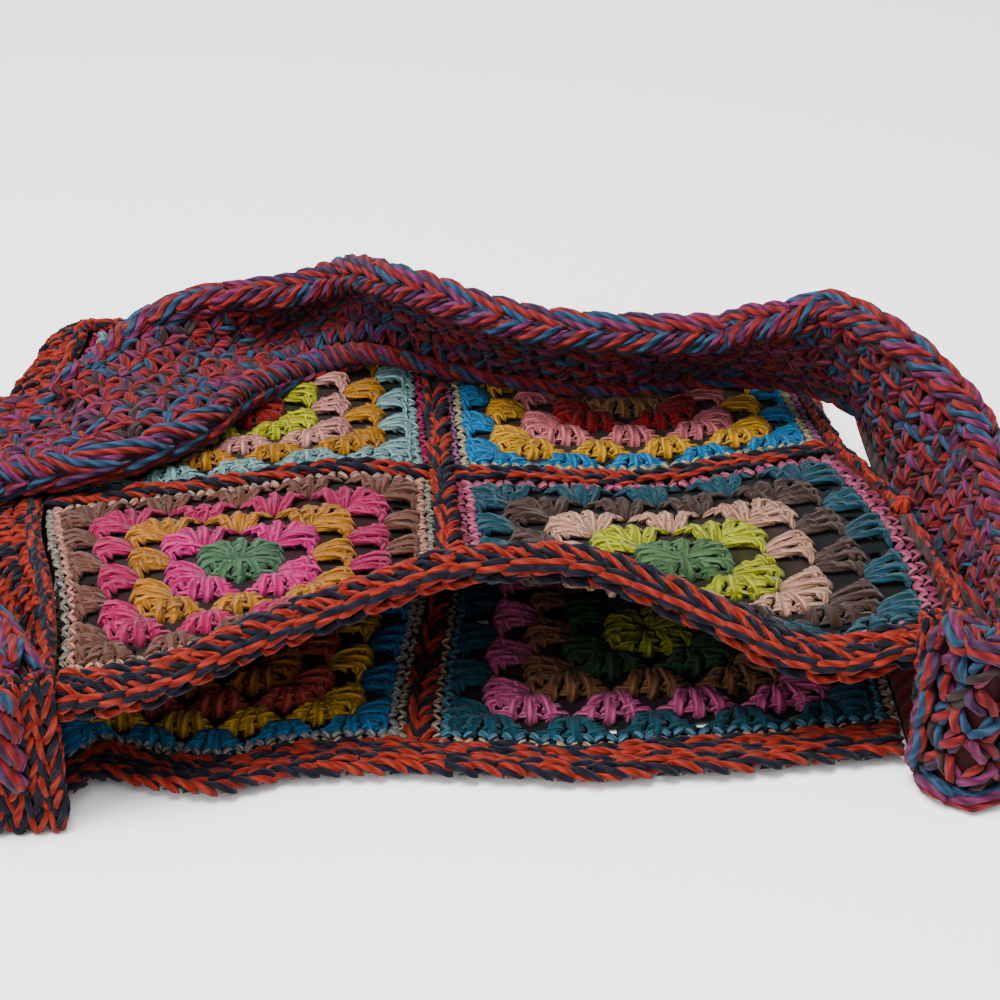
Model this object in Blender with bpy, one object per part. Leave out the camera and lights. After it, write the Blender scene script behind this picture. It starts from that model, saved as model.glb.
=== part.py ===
"""Crocheted granny square shoulder bag, lying on its back panel with its mouth toward -Y.

Units are metres and +Z is up. The origin is on the floor, under the crossing of the front seams.
A point of a flat panel is given by s, its distance to the right of the middle seam, and t, its
distance from the cross seam toward the closed end. Both panels use the same s and t.
"""
import math

import bmesh
import bpy
import numpy as np
from mathutils import Vector

# Flat sizes of the crochet.
LEFT_SQUARE = 0.1455
RIGHT_SQUARE = 0.1445
SQUARE_DEPTH = 0.142
SEAM_WIDTH = 0.009
FRONT_BAND_WIDTH = 0.012
BACK_BAND_WIDTH = 0.018

# Thicknesses of the crochet.
SQUARE_THICKNESS = 0.004
SEAM_THICKNESS = 0.006
FRONT_BAND_THICKNESS = 0.009
BACK_BAND_THICKNESS = 0.007
GUSSET_THICKNESS = 0.005

# The lying bag's form.
SIDE_HEIGHT = 0.047
SIDE_BULGE = 0.022
CORNER_PULL = 0.007
CORNER_REACH = 0.050
FLARE_TURN = math.radians(112)
FLARE_REACH = 1.1
FRONT_FLARE = 0.019
FRONT_TUCK = 0.017
BACK_FLARE = 0.006
BACK_TUCK = 0.006
MOUTH_OFFSET = 0.0015
BACK_SET_BACK = 0.020
BACK_FAR_SHARE = 0.5
BACK_SEAM_SHIFT = -0.014

# Gaps in the crochet beside each square's edging, and their distance from the square's edge.
GAP_SIZE = 0.004
GAP_INSET = 0.011
CLUSTERS_PER_SIDE = 5

# The shoulder strap.
STRAP_WIDTH = 0.063
STRAP_THICKNESS = 0.0085
STRAP_RIM_THICKNESS = 0.0115
STATIONS_PER_SPAN = 3
LASHING_THICKNESS = 0.004

# Clearances between neighbouring pieces, and between the standing strap and the floor.
JOIN_GAP = 0.0004
EDGE_GAP = 0.0006
BAND_END_GAP = 0.0012
FLOOR_GAP = 0.0003

HALF_SEAM = SEAM_WIDTH / 2
LEFT = -HALF_SEAM - LEFT_SQUARE
RIGHT = HALF_SEAM + RIGHT_SQUARE
NEAR = -HALF_SEAM - SQUARE_DEPTH
FAR = HALF_SEAM + SQUARE_DEPTH
MOUTH_LINE = NEAR + MOUTH_OFFSET

# Sections of the front panel, from its left side to its right side. x is a share of the half width.
# The y columns are shares of SQUARE_DEPTH from the mouth line, the z columns of SIDE_HEIGHT: the
# mouth's edge, the dip behind it, the rise after the dip, the cross seam, mid_z and the closed end.
FRONT_SECTIONS = (
    # x, edge_y, edge_z, dip_y, dip_z, rise_y, rise_z, seam_z, mid_z, far_z
    (-1.00, -0.03, 1.04, 0.30, 1.01, 0.56, 0.96, 0.70, 0.66, 0.78),
    (-0.75, 0.00, 1.07, 0.30, 1.02, 0.56, 0.98, 0.77, 0.64, 0.70),
    (-0.50, 0.09, 1.22, 0.33, 1.00, 0.57, 0.95, 0.84, 0.63, 0.64),
    (-0.25, 0.16, 1.38, 0.38, 1.01, 0.59, 0.93, 0.93, 0.63, 0.62),
    (0.00, 0.22, 1.53, 0.44, 1.01, 0.64, 0.84, 0.82, 0.66, 0.60),
    (0.26, 0.23, 1.49, 0.42, 0.96, 0.59, 0.82, 0.76, 0.64, 0.53),
    (0.42, 0.19, 1.30, 0.37, 0.87, 0.55, 0.83, 0.71, 0.61, 0.50),
    (0.55, 0.14, 1.11, 0.34, 0.82, 0.53, 0.85, 0.70, 0.60, 0.50),
    (0.68, 0.09, 0.91, 0.31, 0.81, 0.53, 0.88, 0.76, 0.60, 0.50),
    (0.80, 0.07, 0.86, 0.30, 0.87, 0.54, 0.93, 0.82, 0.60, 0.50),
    (0.90, 0.08, 0.93, 0.29, 0.96, 0.56, 0.97, 0.86, 0.58, 0.50),
    (1.00, 0.05, 1.03, 0.29, 1.03, 0.57, 1.00, 0.90, 0.57, 0.50),
)
# Shares of SQUARE_DEPTH from the mouth at which the dip and the rise lie on the flat square.
DIP_SHARE = 0.24
RISE_SHARE = 0.50
# The outer half of the front mouth band rolls over, down and toward the mouth.
ROLL_OVER = (0.8, 0.6)

# Waves of the back panel's mouth edge, as shares of BACK_BAND_WIDTH, fading out over WAVE_REACH.
BACK_MOUTH_WAVES = (
    # x, wave_y
    (-1.00, -0.45), (-0.92, 0.05), (-0.84, 0.60), (-0.72, 0.35), (-0.60, 0.05), (-0.47, -0.05),
    (-0.33, 0.30), (-0.06, 0.30), (0.19, 0.00), (0.38, -0.25), (0.52, -0.15), (0.66, -0.15),
    (0.87, 0.00), (1.00, 0.10),
)
WAVE_REACH = 0.045

# Bulge of the gusset, as shares of SIDE_BULGE along the path from the left mouth corner, around
# the closed end, to the right mouth corner. The path runs from 0 to 3, one unit for each side.
GUSSET_BULGES = (
    # path, bulge
    (0.00, 0.00), (0.15, 0.15), (0.35, 0.70), (0.60, 1.00), (0.90, 0.95), (1.00, 0.80),
    (1.20, 0.50), (1.50, 0.25), (1.80, 0.25), (2.00, 0.30), (2.30, 0.20), (2.70, 0.10),
    (3.00, 0.00),
)
# Heights of the gusset's section, as shares from the back panel to the front one, with the share
# of the bulge that each has.
GUSSET_SECTION = ((0.30, 0.85), (0.65, 1.00), (0.88, 0.55))

# Route of the strap's lower edge, from the right mouth corner, back along the right side, across
# the bag, off to the left and back to the left mouth corner. x is a share of the right half
# width with its flare, out counts gusset and strap thicknesses outward, y is a share of
# SQUARE_DEPTH from the mouth line, z a share of SIDE_HEIGHT, and lean the angle in degrees from
# upright, toward the left of someone who walks along the strap. curl is the depth of the band's
# hollow on that left side, as a share of STRAP_WIDTH.
STRAP_SECTIONS = (
    # x, out, y, z, lean, curl
    (0.945, 0.0, -0.030, 0.02, 6.0, 0.00),
    (0.945, 0.3, -0.115, 0.02, 6.0, 0.00),
    (0.945, 0.8, -0.155, 0.02, 4.0, 0.00),
    (0.945, 1.3, -0.110, 0.02, 0.0, 0.00),
    (0.945, 1.5, -0.010, 0.02, -5.0, 0.00),
    (0.945, 1.5, 0.170, 0.04, -10.0, 0.00),
    (0.945, 1.4, 0.350, 0.14, -14.0, 0.00),
    (0.940, 1.1, 0.700, 0.52, -16.0, 0.00),
    (0.944, 0.9, 1.040, 0.84, 12.0, 0.00),
    (0.945, 0.7, 1.240, 0.98, 36.0, 0.00),
    (0.880, 0.1, 1.425, 0.95, 45.0, 0.00),
    (0.717, 0.0, 1.535, 0.86, 48.0, 0.05),
    (0.443, 0.0, 1.530, 0.80, 43.0, 0.08),
    (0.241, 0.0, 1.585, 0.80, 40.0, 0.08),
    (0.050, 0.0, 1.660, 0.80, 32.0, 0.12),
    (-0.128, 0.0, 1.720, 0.80, 20.0, 0.27),
    (-0.283, 0.0, 1.720, 0.72, -25.0, 0.38),
    (-0.443, 0.0, 1.480, 0.93, -70.0, 0.14),
    (-0.540, 0.0, 1.225, 1.03, -80.0, 0.06),
    (-0.747, 0.0, 1.030, 1.06, -87.0, 0.03),
    (-0.900, -1.0, 1.045, 0.91, -92.0, 0.03),
    (-0.980, -2.0, 1.010, 0.72, -70.0, 0.00),
    (-1.030, -3.0, 0.840, 0.36, -42.0, 0.00),
    (-1.070, -3.0, 0.610, 0.10, -20.0, 0.00),
    (-1.020, -2.5, 0.420, 0.03, -8.0, 0.00),
    (-0.946, -1.7, 0.330, 0.02, 2.0, 0.04),
    (-0.890, -1.2, 0.190, 0.02, 12.0, 0.08),
    (-0.872, -0.7, -0.030, 0.02, 17.0, 0.12),
)
# Half section of the strap: shares of its width, and half thicknesses. Its rims are thicker.
STRAP_PROFILE = (
    (0.00, 0.28 * STRAP_RIM_THICKNESS), (0.07, 0.5 * STRAP_RIM_THICKNESS),
    (0.20, 0.5 * STRAP_THICKNESS), (0.50, 0.5 * STRAP_THICKNESS), (0.80, 0.5 * STRAP_THICKNESS),
    (0.93, 0.5 * STRAP_RIM_THICKNESS), (1.00, 0.28 * STRAP_RIM_THICKNESS),
)
# Section across a mouth band: shares of its width, and of its thickness to either side.
BAND_PROFILE = ((0.0, 0.25), (0.25, 0.47), (0.75, 0.47), (1.0, 0.25))
NORMAL_STEP = 0.001

YARN_COLOURS = {
    "coral": (0.55, 0.06, 0.04),
    "strap": (0.28, 0.07, 0.11),
    "brown": (0.20, 0.08, 0.05),
    "teal": (0.01, 0.08, 0.11),
    "aqua": (0.25, 0.45, 0.45),
    "blue": (0.01, 0.20, 0.38),
}


def clear_scene():
    for item in list(bpy.data.objects):
        bpy.data.objects.remove(item, do_unlink=True)


def smoothstep(share):
    share = min(max(share, 0.0), 1.0)
    return share * share * (3 - 2 * share)


def smooth_row(table, key):
    """One row of a table, interpolated smoothly at key, a value of its first column."""
    rows = np.array(table, float)
    keys = rows[:, 0]
    key = min(max(key, keys[0]), keys[-1])
    last = len(rows) - 1
    i = min(int(np.searchsorted(keys, key, side="right")) - 1, last - 1)
    before, after = max(i - 1, 0), min(i + 2, last)
    span = keys[i + 1] - keys[i]
    slope_1 = (rows[i + 1] - rows[before]) / (keys[i + 1] - keys[before])
    slope_2 = (rows[after] - rows[i]) / (keys[after] - keys[i])
    u = (key - keys[i]) / span
    return ((2 * u ** 3 - 3 * u ** 2 + 1) * rows[i] + (u ** 3 - 2 * u ** 2 + u) * span * slope_1
            + (3 * u ** 2 - 2 * u ** 3) * rows[i + 1] + (u ** 3 - u ** 2) * span * slope_2)


def across(s):
    """A place on the flat panel as a share of the half width, from -1 to 1."""
    return s / -LEFT if s < 0 else s / RIGHT


def sideways(s, t, flare, tuck):
    """How far a point moves to the right: the sides flare and tuck in toward the mouth."""
    share = across(s)
    toward_mouth = max(t / NEAR, 0.0)
    if share > 0:
        move = flare * share * math.sin(FLARE_TURN * min(toward_mouth, FLARE_REACH))
    else:
        move = tuck * share ** 2 * smoothstep(toward_mouth)
    corner = RIGHT if s > 0 else LEFT
    near_corner = 1 - smoothstep(math.hypot(s - corner, t - FAR) / CORNER_REACH)
    return move - math.copysign(CORNER_PULL * near_corner, corner), CORNER_PULL * near_corner


def front(s, t):
    """A point of the front panel's middle surface."""
    _, edge_y, edge_z, dip_y, dip_z, rise_y, rise_z, seam_z, mid_z, far_z = smooth_row(
        FRONT_SECTIONS, across(s))
    depth = SQUARE_DEPTH
    edge_t = NEAR - FRONT_BAND_WIDTH / 2
    knots = (
        (edge_t, MOUTH_LINE + edge_y * depth, edge_z * SIDE_HEIGHT),
        (NEAR + DIP_SHARE * depth, MOUTH_LINE + dip_y * depth, dip_z * SIDE_HEIGHT),
        (NEAR + RISE_SHARE * depth, MOUTH_LINE + rise_y * depth, rise_z * SIDE_HEIGHT),
        (0.0, 0.0, seam_z * SIDE_HEIGHT),
        (FAR / 2, FAR / 2, mid_z * SIDE_HEIGHT),
        (FAR, FAR, far_z * SIDE_HEIGHT),
    )
    _, y, z = smooth_row(knots, t)
    past_edge = max(edge_t - t, 0.0)
    move_x, move_y = sideways(s, t, FRONT_FLARE, FRONT_TUCK)
    return Vector((s + move_x, y - move_y - ROLL_OVER[0] * past_edge, z - ROLL_OVER[1] * past_edge))


def back(s, t):
    """A point of the back panel's underside, which lies flat on the floor."""
    depth_share = (t - NEAR) / (FAR - NEAR)
    set_back = BACK_SET_BACK * (1 - (1 - BACK_FAR_SHARE) * depth_share)
    wave = smooth_row(BACK_MOUTH_WAVES, across(s))[1] * BACK_BAND_WIDTH
    fade = 1 - smoothstep((t - NEAR) / WAVE_REACH)
    move_x, move_y = sideways(s, t, BACK_FLARE, BACK_TUCK)
    move_x += BACK_SEAM_SHIFT * (1 - across(s) ** 2) * smoothstep(t / NEAR)
    return Vector((s + move_x, t + set_back - move_y + wave * fade, 0.0))


def normal_of(surface, s, t):
    along_s = surface(s + NORMAL_STEP, t) - surface(s - NORMAL_STEP, t)
    along_t = surface(s, t + NORMAL_STEP) - surface(s, t - NORMAL_STEP)
    return along_s.cross(along_t).normalized()


def finish_object(name, mesh, colour):
    """Turns a bmesh into a named object with its own yarn material."""
    bmesh.ops.triangulate(mesh, faces=mesh.faces[:])
    bmesh.ops.recalc_face_normals(mesh, faces=mesh.faces[:])
    data = bpy.data.meshes.new(name)
    mesh.to_mesh(data)
    mesh.free()
    data.shade_smooth()
    data.set_sharp_from_angle(angle=math.radians(40))
    material = bpy.data.materials.new(name + "_yarn")
    material.use_nodes = True
    shader = material.node_tree.nodes["Principled BSDF"]
    shader.inputs["Base Color"].default_value = (*YARN_COLOURS[colour], 1.0)
    shader.inputs["Roughness"].default_value = 0.9
    shader.inputs["Metallic"].default_value = 0.0
    material.diffuse_color = (*YARN_COLOURS[colour], 1.0)
    data.materials.append(material)
    item = bpy.data.objects.new(name, data)
    bpy.context.scene.collection.objects.link(item)
    return item


def add_sheet(name, surface, s_lines, t_lines, heights, colour, open_cells=()):
    """A slab that follows a surface. heights holds its bottom and top distance for each t line."""
    mesh = bmesh.new()
    levels = ([], [])
    for s in s_lines:
        for level in levels:
            level.append([])
        for t, (low, high) in zip(t_lines, heights):
            point = surface(s, t)
            normal = normal_of(surface, s, t)
            for level, distance in zip(levels, (low, high)):
                level[-1].append(mesh.verts.new(point + normal * distance))
    bottom, top = levels
    cells = {(i, j) for i in range(len(s_lines) - 1) for j in range(len(t_lines) - 1)}
    cells -= set(open_cells)
    for i, j in sorted(cells):
        corners = ((i, j), (i + 1, j), (i + 1, j + 1), (i, j + 1))
        neighbours = ((i, j - 1), (i + 1, j), (i, j + 1), (i - 1, j))
        mesh.faces.new([top[a][b] for a, b in corners])
        mesh.faces.new([bottom[a][b] for a, b in reversed(corners)])
        for k, neighbour in enumerate(neighbours):
            if neighbour not in cells:
                (a, b), (c, d) = corners[k], corners[(k + 1) % 4]
                mesh.faces.new((bottom[a][b], bottom[c][d], top[c][d], top[a][b]))
    bmesh.ops.delete(mesh, geom=[v for v in mesh.verts if not v.link_faces], context="VERTS")
    return finish_object(name, mesh, colour)


def add_loft(name, sections, colour):
    """A solid through closed sections of equal point count, capped at both ends."""
    mesh = bmesh.new()
    loops = [[mesh.verts.new(point) for point in section] for section in sections]
    count = len(loops[0])
    for first, second in zip(loops, loops[1:]):
        for k in range(count):
            following = (k + 1) % count
            mesh.faces.new((first[k], first[following], second[following], second[k]))
    mesh.faces.new(loops[0][::-1])
    mesh.faces.new(loops[-1])
    return finish_object(name, mesh, colour)


def square_lines(start, end):
    """Grid lines across a square: its edges, the gaps near both edges and the gaps along it."""
    side = end - start
    lines = [0.0, GAP_INSET, GAP_INSET + GAP_SIZE]
    for k in range(1, CLUSTERS_PER_SIDE):
        middle = side * k / CLUSTERS_PER_SIDE
        lines += [middle - GAP_SIZE / 2, middle + GAP_SIZE / 2]
    lines += [side - GAP_INSET - GAP_SIZE, side - GAP_INSET, side]
    return [start + line for line in lines]


def gap_cells(every):
    """Cells of a square's grid that are gaps: a row inside each of its four edges."""
    last = 2 * (CLUSTERS_PER_SIDE - 1) + 4
    along = [3 + 2 * k for k in range(0, CLUSTERS_PER_SIDE - 1, every)]
    near_edge, far_edge = 1, last - 1
    cells = [(k, row) for k in along for row in (near_edge, far_edge)]
    return cells + [(row, k) for k in along for row in (near_edge, far_edge)]


LEFT_LINES = square_lines(LEFT, -HALF_SEAM)
RIGHT_LINES = square_lines(HALF_SEAM, RIGHT)
NEAR_LINES = square_lines(NEAR, -HALF_SEAM)
FAR_LINES = square_lines(HALF_SEAM, FAR)


def inset(lines, start, end):
    """The same grid lines with the first and last moved in, to clear the neighbours."""
    return [lines[0] + start] + lines[1:-1] + [lines[-1] - end]


def add_squares(panel, surface, height, colours):
    """The four squares of a panel. The two with felted edges show only half of their gaps."""
    half = JOIN_GAP / 2
    for place, s_lines, t_lines in (
        ("near_left", LEFT_LINES, NEAR_LINES), ("near_right", RIGHT_LINES, NEAR_LINES),
        ("far_left", LEFT_LINES, FAR_LINES), ("far_right", RIGHT_LINES, FAR_LINES),
    ):
        colour, every = colours[place]
        add_sheet(f"{panel}_square_{place}", surface, inset(s_lines, half, half),
                  inset(t_lines, half, half), [height] * len(t_lines), colour, gap_cells(every))


def add_seams(panel, surface, height):
    """The long seam from mouth to closed end, and the two halves of the cross seam."""
    half = JOIN_GAP / 2
    seam_lines = [-HALF_SEAM, 0.0, HALF_SEAM]
    long_lines = inset(NEAR_LINES, half, 0) + FAR_LINES
    add_sheet(f"{panel}_seam_long", surface, inset(seam_lines, half, half), long_lines,
              [height] * len(long_lines), "coral")
    cross_lines = inset(seam_lines, half, half)
    for side, s_lines in (("left", LEFT_LINES), ("right", RIGHT_LINES)):
        add_sheet(f"{panel}_seam_{side}", surface, inset(s_lines, half, half), cross_lines,
                  [height] * len(cross_lines), "coral")


def add_mouth_band(panel, surface, width, heights):
    """The rolled edge along a panel's mouth."""
    t_lines = [NEAR - width + share * (width - JOIN_GAP / 2) for share, _ in BAND_PROFILE]
    s_lines = inset(LEFT_LINES, BAND_END_GAP, 0) + inset(RIGHT_LINES, 0, BAND_END_GAP)
    add_sheet(f"mouth_band_{panel}", surface, s_lines, t_lines, heights, "coral")


def gusset_stations():
    """Path value, place on the back edge, place on the front edge, and the outward turn."""
    back_mouth = NEAR - BACK_BAND_WIDTH
    front_mouth = NEAR - FRONT_BAND_WIDTH
    stations = []
    side_lines = NEAR_LINES + FAR_LINES
    length = FAR - NEAR
    stations.append((0.0, (LEFT, back_mouth), (LEFT, front_mouth), 180))
    stations += [((t - NEAR) / length, (LEFT, t), (LEFT, t), 180) for t in side_lines[:-1]]
    stations.append((1.0, (LEFT, FAR), (LEFT, FAR), 150))
    stations.append((1.0, (LEFT, FAR), (LEFT, FAR), 120))
    end_lines = LEFT_LINES[1:] + RIGHT_LINES[:-1]
    stations += [(1 + (s - LEFT) / (RIGHT - LEFT), (s, FAR), (s, FAR), 90) for s in end_lines]
    stations.append((2.0, (RIGHT, FAR), (RIGHT, FAR), 60))
    stations.append((2.0, (RIGHT, FAR), (RIGHT, FAR), 30))
    stations += [(3 - (t - NEAR) / length, (RIGHT, t), (RIGHT, t), 0)
                 for t in reversed(side_lines[:-1])]
    stations.append((3.0, (RIGHT, back_mouth), (RIGHT, front_mouth), 0))
    return stations


def gusset_section(path, back_place, front_place, turn):
    """Closed section of the gusset: up its inner face, and down its outer face."""
    outward = Vector((math.cos(math.radians(turn)), math.sin(math.radians(turn)), 0.0))
    low = back(*back_place) + outward * EDGE_GAP
    high = front(*front_place) + outward * EDGE_GAP
    bulge = smooth_row(GUSSET_BULGES, path)[1] * SIDE_BULGE
    half = SQUARE_THICKNESS / 2
    inner = [low, low + Vector((0, 0, BACK_BAND_THICKNESS))]
    for height, share in GUSSET_SECTION:
        inner.append(low.lerp(high, height) + outward * bulge * share)
    inner.append(high - Vector((0, 0, half)))
    inner.append(high + Vector((0, 0, half)))
    outer = [point + outward * GUSSET_THICKNESS for point in reversed(inner)]
    return inner + outer


def add_gusset():
    sections = [gusset_section(*station) for station in gusset_stations()]
    add_loft("gusset", sections, "coral")
    return sections[0], sections[-1]


def strap_route():
    """Points of the strap's lower edge, with the lean and the curl there, sampled smoothly."""
    half_width = RIGHT + FRONT_FLARE
    outside = GUSSET_THICKNESS + STRAP_RIM_THICKNESS
    rows = [(k, x * half_width + out * outside, MOUTH_LINE + y * SQUARE_DEPTH,
             FLOOR_GAP + z * SIDE_HEIGHT, math.radians(lean), curl)
            for k, (x, out, y, z, lean, curl) in enumerate(STRAP_SECTIONS)]
    count = (len(rows) - 1) * STATIONS_PER_SPAN
    samples = [smooth_row(rows, k / STATIONS_PER_SPAN) for k in range(count + 1)]
    return [(Vector(row[1:4]), row[4], row[5]) for row in samples]


def strap_sections():
    route = strap_route()
    sections = []
    for k, (low, lean, curl) in enumerate(route):
        tangent = route[min(k + 1, len(route) - 1)][0] - route[max(k - 1, 0)][0]
        tangent.z = 0.0
        left = Vector((-tangent.y, tangent.x, 0.0)).normalized()
        up = Vector((0, 0, 1))
        widthwise = up * math.cos(lean) + left * math.sin(lean)
        face = left * math.cos(lean) - up * math.sin(lean)
        chord = STRAP_WIDTH * (1 - 8 / 3 * curl ** 2)
        sag = 4 * curl * STRAP_WIDTH
        middle = [low + widthwise * chord * share - face * sag * share * (1 - share)
                  for share, _ in STRAP_PROFILE]
        depths = [depth for _, depth in STRAP_PROFILE]
        near_face = [point + face * depth for point, depth in zip(middle, depths)]
        far_face = [point - face * depth for point, depth in zip(middle, depths)]
        sections.append(near_face + far_face[::-1])
    return sections


def add_lashings(left_gusset_end, right_gusset_end, left_strap_end, right_strap_end):
    """The stitching that closes the gusset's mouth ends against the strap's ends."""
    toward_viewer = Vector((0, -1, 0))
    last = len(STRAP_PROFILE) - 1

    def corners(section, low_near, low_far, high_far, high_near):
        return [section[k].copy() for k in (low_near, low_far, high_far, high_near)]

    inner_top = len(right_gusset_end) // 2 - 1
    gusset = corners(right_gusset_end, 0, -1, inner_top + 1, inner_top)
    strap = corners(right_strap_end, -1, 0, last, last + 1)
    gap = toward_viewer * JOIN_GAP
    add_loft("strap_lashing_right", [[point + gap for point in gusset],
                                     [point - gap for point in strap]], "coral")

    gusset = corners(left_gusset_end, 0, -1, inner_top + 1, inner_top)
    strap = corners(left_strap_end, -1, 0, last, last + 1)
    nearest = min(point.y for point in gusset + strap) - JOIN_GAP
    outline = [gusset[0], strap[0], strap[3], gusset[3]]
    first = [Vector((point.x, nearest, max(point.z, FLOOR_GAP))) for point in outline]
    second = [point + toward_viewer * LASHING_THICKNESS for point in first]
    add_loft("strap_lashing_left", [first, second], "coral")


def main():
    clear_scene()
    half = SQUARE_THICKNESS / 2
    add_squares("front", front, (-half, half), {
        "near_left": ("brown", 2), "near_right": ("teal", 2),
        "far_left": ("aqua", 1), "far_right": ("blue", 1)})
    add_squares("back", back, (0.0, SQUARE_THICKNESS), {
        "near_left": ("blue", 1), "near_right": ("teal", 1),
        "far_left": ("aqua", 1), "far_right": ("brown", 1)})
    add_seams("front", front, (-half, SEAM_THICKNESS - half))
    add_seams("back", back, (0.0, SEAM_THICKNESS))
    add_mouth_band("front", front, FRONT_BAND_WIDTH,
                   [(-share * FRONT_BAND_THICKNESS, share * FRONT_BAND_THICKNESS)
                    for _, share in BAND_PROFILE])
    add_mouth_band("back", back, BACK_BAND_WIDTH,
                   [(0.0, (0.5 + share) * BACK_BAND_THICKNESS) for _, share in BAND_PROFILE])
    left_end, right_end = add_gusset()
    sections = strap_sections()
    add_loft("strap", sections, "strap")
    add_lashings(left_end, right_end, sections[-1], sections[0])


main()
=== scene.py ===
import math

import bpy
import numpy as np
from mathutils import Matrix, Vector


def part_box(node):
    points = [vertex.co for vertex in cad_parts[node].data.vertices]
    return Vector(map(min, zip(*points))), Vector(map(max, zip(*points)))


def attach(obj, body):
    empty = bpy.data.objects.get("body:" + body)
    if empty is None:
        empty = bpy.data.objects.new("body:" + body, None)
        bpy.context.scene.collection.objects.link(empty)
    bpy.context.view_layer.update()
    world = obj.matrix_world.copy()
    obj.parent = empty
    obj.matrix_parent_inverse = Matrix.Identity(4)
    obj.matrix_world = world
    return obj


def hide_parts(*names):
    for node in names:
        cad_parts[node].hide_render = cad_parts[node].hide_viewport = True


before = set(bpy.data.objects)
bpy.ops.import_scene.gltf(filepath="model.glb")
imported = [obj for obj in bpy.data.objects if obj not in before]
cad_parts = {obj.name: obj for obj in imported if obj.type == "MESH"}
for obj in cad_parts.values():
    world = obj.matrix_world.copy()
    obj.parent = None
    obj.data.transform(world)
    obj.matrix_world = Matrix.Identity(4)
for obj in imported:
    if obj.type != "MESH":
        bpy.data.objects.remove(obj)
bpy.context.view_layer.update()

bpy.ops.object.select_all(action="DESELECT")

# The place where the bag lies: a plain pale floor, seen from in front of the mouth and above it,
# under a large soft light overhead with a weaker one on the left.
CAMERA_PLACE = Vector((-0.0253, -0.8609, 0.5402))
CAMERA_TURN = math.radians(3.16)
CAMERA_PITCH = math.radians(30.69)
CAMERA_ROLL = math.radians(-0.83)
CAMERA_LENS = 93.6
SENSOR_WIDTH = 36.0
FLOOR_SIZE = 12.0
FLOOR_DROP = 0.0005
FLOOR_SHADE = (0.97, 0.97, 0.97, 1.0)
LIGHT_SIZE = 0.8
LIGHTS = (
    # name, place, power
    ("overhead_light", (-0.25, -0.35, 1.5), 57.0),
    ("left_light", (-1.3, -0.9, 0.9), 13.0),
)
SKY_STRENGTH = 1.18

ahead = Vector((math.sin(CAMERA_TURN) * math.cos(CAMERA_PITCH),
                math.cos(CAMERA_TURN) * math.cos(CAMERA_PITCH), -math.sin(CAMERA_PITCH)))
level = Vector((math.cos(CAMERA_TURN), -math.sin(CAMERA_TURN), 0.0))
upward = level.cross(ahead)
picture_right = level * math.cos(CAMERA_ROLL) + upward * math.sin(CAMERA_ROLL)
picture_up = upward * math.cos(CAMERA_ROLL) - level * math.sin(CAMERA_ROLL)
camera_data = bpy.data.cameras.new("camera")
camera_data.lens = CAMERA_LENS
camera_data.sensor_width = SENSOR_WIDTH
camera = bpy.data.objects.new("camera", camera_data)
bpy.context.scene.collection.objects.link(camera)
camera.matrix_world = Matrix.Translation(CAMERA_PLACE) @ Matrix(
    (picture_right, picture_up, -ahead)).transposed().to_4x4()
bpy.context.scene.camera = camera

bpy.ops.mesh.primitive_plane_add(size=FLOOR_SIZE, location=(0.0, 0.0, -FLOOR_DROP))
floor = bpy.context.object
floor.name = "floor"
floor_paint = bpy.data.materials.new("pale_floor")
floor_paint.use_nodes = True
floor_shader = floor_paint.node_tree.nodes["Principled BSDF"]
floor_shader.inputs["Base Color"].default_value = FLOOR_SHADE
floor_shader.inputs["Roughness"].default_value = 0.9
floor.data.materials.append(floor_paint)
floor.select_set(False)

for name, place, power in LIGHTS:
    light_data = bpy.data.lights.new(name, "AREA")
    light_data.size = LIGHT_SIZE
    light_data.energy = power
    light = bpy.data.objects.new(name, light_data)
    bpy.context.scene.collection.objects.link(light)
    light.location = place
    light.rotation_euler = (-Vector(place)).to_track_quat("-Z", "Y").to_euler()
world = bpy.data.worlds.new("studio")
world.use_nodes = True
world.node_tree.nodes["Background"].inputs["Color"].default_value = (1.0, 1.0, 1.0, 1.0)
world.node_tree.nodes["Background"].inputs["Strength"].default_value = SKY_STRENGTH
bpy.context.scene.world = world

# The front and the back panel are each four granny squares joined by seams. First comes the form in
# which each panel lies, which is the same as the imported model's, and then the thin web of yarn
# that holds each panel's stitches together, open in the gaps beside each square's edging. The web's
# colour is each round's dye darkened almost to black, as painted shade between the clusters.
LEFT_SQUARE = 0.1455
RIGHT_SQUARE = 0.1445
SQUARE_DEPTH = 0.142
SEAM_WIDTH = 0.009
FRONT_BAND_WIDTH = 0.012
BACK_BAND_WIDTH = 0.018
SIDE_HEIGHT = 0.047
CORNER_PULL = 0.007
CORNER_REACH = 0.050
FLARE_TURN = math.radians(112)
FLARE_REACH = 1.1
MOUTH_OFFSET = 0.0015
BACK_SET_BACK = 0.020
BACK_FAR_SHARE = 0.5
BACK_SEAM_SHIFT = -0.014
HALF_SEAM = SEAM_WIDTH / 2
LEFT = -HALF_SEAM - LEFT_SQUARE
RIGHT = HALF_SEAM + RIGHT_SQUARE
NEAR = -HALF_SEAM - SQUARE_DEPTH
FAR = HALF_SEAM + SQUARE_DEPTH
MOUTH_LINE = NEAR + MOUTH_OFFSET
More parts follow.
